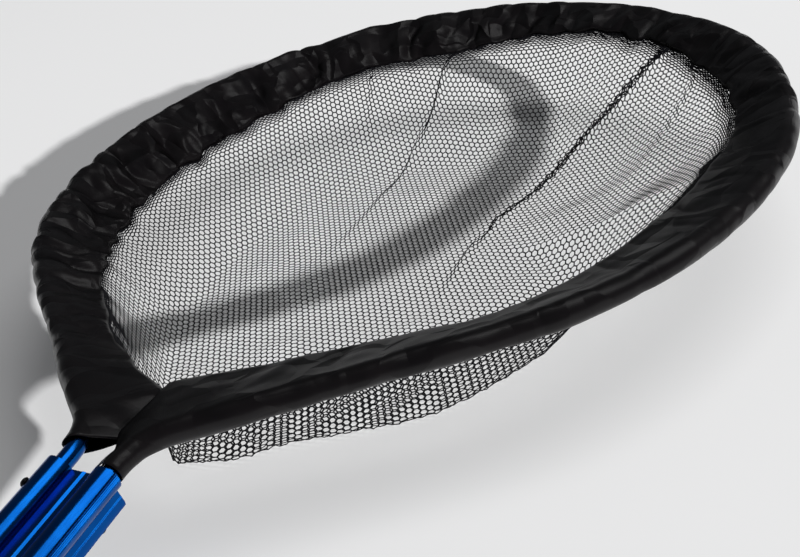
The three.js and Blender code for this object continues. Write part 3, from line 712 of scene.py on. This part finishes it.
# Poles. Two drawn tubes of the same blue aluminium, the inner one fixed in the yoke and sliding in the
# outer one, on a plastic bush at its hidden end.
welded("inner_pole", "inner_pole_tube", anodised, "head", edge=0.0003)
welded("outer_pole", "outer_pole_tube", anodised, "handle", edge=0.0003)

# Moulded black nylon: satin, with the fine grain of a sparked mould, drawn 0.6 mm across so that it shows.
moulded, shader = new_material("black_moulded_nylon")
links = moulded.node_tree.links
place = add_node(moulded, "ShaderNodeTexCoord").outputs["Object"]
grain = add_node(
    moulded, "ShaderNodeTexNoise", {"Vector": place, "Scale": 1 / 0.0006, "Detail": 3}
).outputs["Fac"]
worn = add_node(moulded, "ShaderNodeValToRGB", {"Fac": grain})
worn.color_ramp.elements[0].color = linear("#0E0E10")
worn.color_ramp.elements[1].color = linear("#1E1E21")
satin = add_node(moulded, "ShaderNodeBump", {"Height": grain, "Strength": 0.2, "Distance": 0.0001})
links.new(worn.outputs["Color"], shader.inputs["Base Color"])
links.new(satin.outputs["Normal"], shader.inputs["Normal"])
shader.inputs["Roughness"].default_value = 0.48
welded("inner_pole_bush", "inner_pole_bush_nylon", moulded, "head", edge=0.0004)


# Twist lock. A threaded ferrule on the outer pole, a tapered collet and a fluted collar that closes them
# on the inner pole, all moulded in black nylon.
welded("lock_ferrule", "lock_ferrule_nylon", moulded, "handle", edge=0.0003)
welded("lock_collet", "lock_collet_nylon", moulded, "handle", edge=0.0003)
welded("lock_collar", "lock_collar_nylon", moulded, "lock", edge=0.0004, sides=20)


# Grip and end cap. A moulded sleeve of closed-cell foam pushed over the end of the outer pole, and the
# nylon cap whose plug is pressed into the pole's end.
# Closed-cell foam: a dull dark grey skin, unevenly paler, with fine pores 1.2 mm apart.
foam, shader = new_material("black_closed_cell_foam")
links = foam.node_tree.links
place = add_node(foam, "ShaderNodeTexCoord").outputs["Object"]
pores = add_node(foam, "ShaderNodeTexVoronoi", {"Vector": place, "Scale": 1 / 0.0012}).outputs["Distance"]
skin = add_node(
    foam, "ShaderNodeTexNoise", {"Vector": place, "Scale": 1 / 0.012, "Detail": 3}
).outputs["Fac"]
shade = add_node(foam, "ShaderNodeValToRGB", {"Fac": skin})
shade.color_ramp.elements[0].color = linear("#131315")
shade.color_ramp.elements[1].color = linear("#242427")
pitted = add_node(foam, "ShaderNodeBump", {"Height": pores, "Strength": 0.4, "Distance": 0.0004})
links.new(shade.outputs["Color"], shader.inputs["Base Color"])
links.new(pitted.outputs["Normal"], shader.inputs["Normal"])
shader.inputs["Roughness"].default_value = 0.9
grip = welded("grip", "grip_foam", foam, "handle", edge=0.0008)
welded("end_cap", "end_cap_nylon", moulded, "handle", edge=0.0005)


# Floor: a plain sheet of white paper under everything, a little lifted for the eye and in reflections, so
# that it is pale and keeps the object's shadow.
FLOOR_HALF = 400
FLOOR_LIFT = 0.05
floor_mesh = bpy.data.meshes.new("floor")
floor_bm = bmesh.new()
bmesh.ops.create_grid(floor_bm, x_segments=1, y_segments=1, size=FLOOR_HALF)
floor_bm.to_mesh(floor_mesh)
floor_bm.free()
floor = bpy.data.objects.new("floor", floor_mesh)
scene.collection.objects.link(floor)
paper, shader = new_material("white_paper")
shader.inputs["Base Color"].default_value = linear("#F6F6F6")
shader.inputs["Roughness"].default_value = 0.9
shader.inputs["Specular IOR Level"].default_value = 0.1
shader.inputs["Emission Color"].default_value = (1, 1, 1, 1)
sight = add_node(paper, "ShaderNodeLightPath").outputs
seen = add_node(
    paper, "ShaderNodeMath", {0: sight["Is Camera Ray"], 1: sight["Is Glossy Ray"]}, operation="MAXIMUM"
)
seen = add_node(
    paper, "ShaderNodeMath", {0: seen.outputs[0], 1: sight["Is Transmission Ray"]}, operation="MAXIMUM"
)
lift = add_node(paper, "ShaderNodeMath", {0: seen.outputs[0], 1: FLOOR_LIFT}, operation="MULTIPLY")
paper.node_tree.links.new(lift.outputs[0], shader.inputs["Emission Strength"])
floor_mesh.materials.append(paper)


# Light: a dim room, a lamp low on the right, whose shadow of the hem falls on the ground inside the hoop,
# and a long soft box high up beyond the hoop, whose reflection runs along the yoke and the hem's folds. The
# lamp stays out of reflections, where it would be a white glare on the hem.
ROOM_STRENGTH = 0.1
LAMP_WAY = Vector((-0.285, 0.14, -0.096))
LAMP_STRENGTH = 5.8
LAMP_SPREAD = math.radians(1.5)
SOFT_BOX_POWER = 62
SOFT_BOX_WAY = Vector((0.38, 0.27, 0.88)).normalized()
SOFT_BOX_FAR = 5
SOFT_BOX_LENGTH = 4.2
SOFT_BOX_WIDTH = 1.5
world = bpy.data.worlds.new("studio")
world.use_nodes = True
world.node_tree.nodes["Background"].inputs["Color"].default_value = (0.93, 0.95, 1, 1)
world.node_tree.nodes["Background"].inputs["Strength"].default_value = ROOM_STRENGTH
scene.world = world
lamp = bpy.data.lights.new("lamp", "SUN")
lamp.energy = LAMP_STRENGTH
lamp.angle = LAMP_SPREAD
lamp_piece = bpy.data.objects.new("lamp", lamp)
lamp_piece.rotation_euler = LAMP_WAY.to_track_quat("-Z", "Y").to_euler()
lamp_piece.visible_glossy = False
scene.collection.objects.link(lamp_piece)
# The strands of the net are drawn wider than real ones, and at this low angle they would shade the ground
# far more than real ones do, so they don't stop the lamp's light.
unshading = bpy.data.collections.new("lamp_passes")
for piece in net_pieces.values():
    unshading.objects.link(piece)
for linked in unshading.collection_objects:
    linked.light_linking.link_state = "EXCLUDE"
lamp_piece.light_linking.blocker_collection = unshading
soft_box = bpy.data.lights.new("soft_box", "AREA")
soft_box.shape = "RECTANGLE"
soft_box.size = SOFT_BOX_LENGTH
soft_box.size_y = SOFT_BOX_WIDTH
soft_box.energy = SOFT_BOX_POWER
soft_box_piece = bpy.data.objects.new("soft_box", soft_box)
soft_box_across = Vector((0, 1, 0)).cross(SOFT_BOX_WAY).normalized()
soft_box_axes = (soft_box_across, SOFT_BOX_WAY.cross(soft_box_across), SOFT_BOX_WAY)
soft_box_turn = Matrix(soft_box_axes).transposed().to_4x4()
soft_box_piece.matrix_world = Matrix.Translation(SOFT_BOX_WAY * SOFT_BOX_FAR) @ soft_box_turn
scene.collection.objects.link(soft_box_piece)


# Camera, at the photograph's viewing angle.
CAMERA_AT = Vector((0.471, -0.712, 0.471))
CAMERA_TURN = math.radians(35.4)
CAMERA_DOWN = math.radians(30.3)
CAMERA_ROLL = math.radians(-14.5)
SENSOR_WIDTH = 36
LENS = 49.41
forward = Vector(
    (
        -math.sin(CAMERA_TURN) * math.cos(CAMERA_DOWN),
        math.cos(CAMERA_TURN) * math.cos(CAMERA_DOWN),
        -math.sin(CAMERA_DOWN),
    )
)
rightward = Vector((math.cos(CAMERA_TURN), math.sin(CAMERA_TURN), 0))
upward = rightward.cross(forward)
tilted_right = rightward * math.cos(CAMERA_ROLL) + upward * math.sin(CAMERA_ROLL)
tilted_up = upward * math.cos(CAMERA_ROLL) - rightward * math.sin(CAMERA_ROLL)
camera_data = bpy.data.cameras.new("camera")
camera_data.sensor_width = SENSOR_WIDTH
camera_data.lens = LENS
camera = bpy.data.objects.new("camera", camera_data)
camera_axes = Matrix((tilted_right, tilted_up, -forward)).transposed().to_4x4()
camera.matrix_world = Matrix.Translation(CAMERA_AT) @ camera_axes
scene.collection.objects.link(camera)
scene.camera = camera
